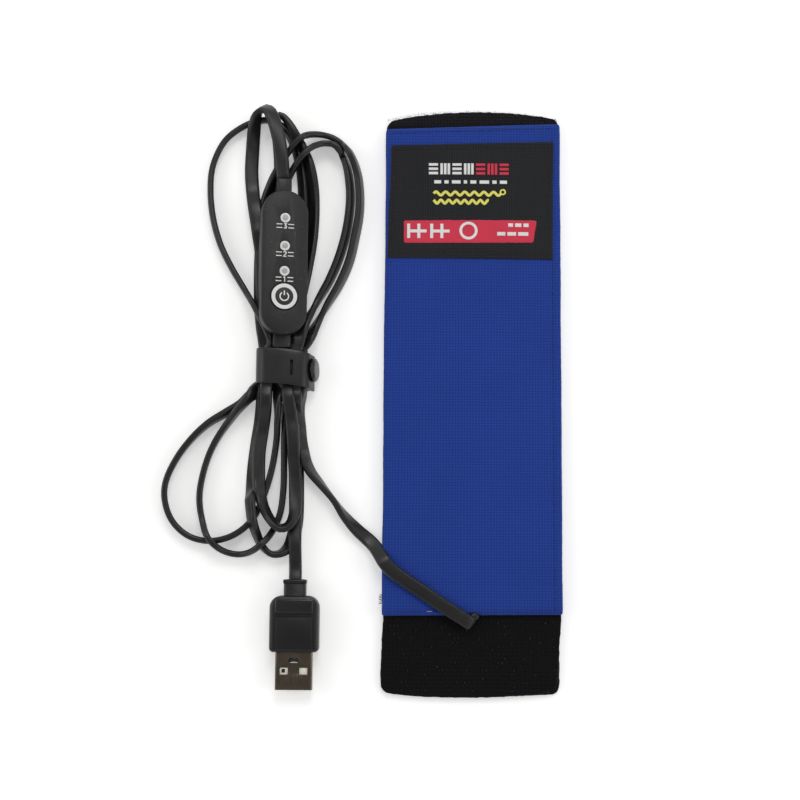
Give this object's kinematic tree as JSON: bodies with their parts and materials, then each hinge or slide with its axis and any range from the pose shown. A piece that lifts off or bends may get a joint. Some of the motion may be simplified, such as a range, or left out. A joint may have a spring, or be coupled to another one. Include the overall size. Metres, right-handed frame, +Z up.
{
  "type": "telescope dew heater strip",
  "caption": "Flat fabric heating strip with a hook tab and a flat cord, with an in-line heat controller, a plug and a snap strap round the coiled cord.",
  "frame": {"origin": "on the surface the pad lies on, under the middle of the pad without its cord", "axes": "+Y along the pad from the hook tab to the plain end, +X across it, +Z up through its thickness"},
  "size_m": [0.1332, 0.1968, 0.0148],
  "materials": {
    "cover_weave": "fine plain weave, matt blue nylon",
    "lining_pile": "black brushed loop pile",
    "hook_fabric": "black hook fabric with fine stiff hooks",
    "patch_fabric": "black woven patch, sewn round its edge",
    "band_print": "printed red field",
    "insulation": "white foam sheet",
    "film": "amber polyimide film",
    "track_metal": "etched metal foil",
    "solder": "bright solder",
    "wire_red": "soft red insulation",
    "wire_black": "soft black insulation",
    "cord_jacket": "satin black cord jacket",
    "relief_plastic": "satin black moulded plastic",
    "case_plastic": "finely textured dark plastic",
    "button_plastic": "smooth dark plastic with a white printed ring",
    "window_plastic": "milky white plastic",
    "board": "green solder mask",
    "electronics_black": "black moulded package",
    "electronics_cream": "cream ceramic package",
    "strap_rubber": "smooth satin black rubber",
    "snap_plastic": "smooth black plastic",
    "plug_plastic": "satin black overmould",
    "shell_nickel": "thin nickel-plated steel",
    "carrier_plastic": "cream insulating plastic",
    "contact_gold": "gold-plated contact"
  },
  "bodies": {
    "strip": {"lining_panel": "lining_pile", "hook_tab": "hook_fabric", "cover_fabric": "cover_weave", "heating_film": "film", "heater_trace": "track_metal", "insulation_foam": "insulation", "solder_terminal_a": "solder", "solder_terminal_b": "solder", "lead_wire_a": "wire_red", "lead_wire_b": "wire_black", "thermal_cutout": "electronics_cream", "label_patch": "patch_fabric", "label_band": "band_print", "cord_anchor": "relief_plastic", "cord_pad_lead": "cord_jacket", "cord_hank": "cord_jacket", "cord_controller_arch": "cord_jacket", "cord_plug_lead": "cord_jacket", "controller_upper_shell": "case_plastic", "controller_lower_shell": "case_plastic", "circuit_board": "board", "led_chip_1": "electronics_cream", "led_chip_2": "electronics_cream", "led_chip_3": "electronics_cream", "light_window_1": "window_plastic", "light_window_2": "window_plastic", "light_window_3": "window_plastic", "switch_body": "electronics_black", "power_transistor": "electronics_black", "control_chip": "electronics_black", "capacitor": "electronics_cream", "strain_relief_upper": "relief_plastic", "strain_relief_lower": "relief_plastic", "strap_band": "strap_rubber", "snap_cap": "snap_plastic", "snap_stud": "snap_plastic", "plug_overmould": "plug_plastic", "usb_shell": "shell_nickel", "contact_carrier": "carrier_plastic", "plug_contact_1": "contact_gold", "plug_contact_2": "contact_gold", "plug_contact_3": "contact_gold", "plug_contact_4": "contact_gold", "plug_inner_mould": "electronics_cream"},
    "button": {"button_cap": "button_plastic", "switch_plunger": "electronics_cream"}
  },
  "joints": [
    {"name": "button_press", "type": "slide", "parent": "strip", "child": "button", "axis": [-0.2079, 0, -0.9781], "range_m": [0, 0.0004], "stiffness_N_per_m": 500, "springref_m": -0.002}
  ]
}
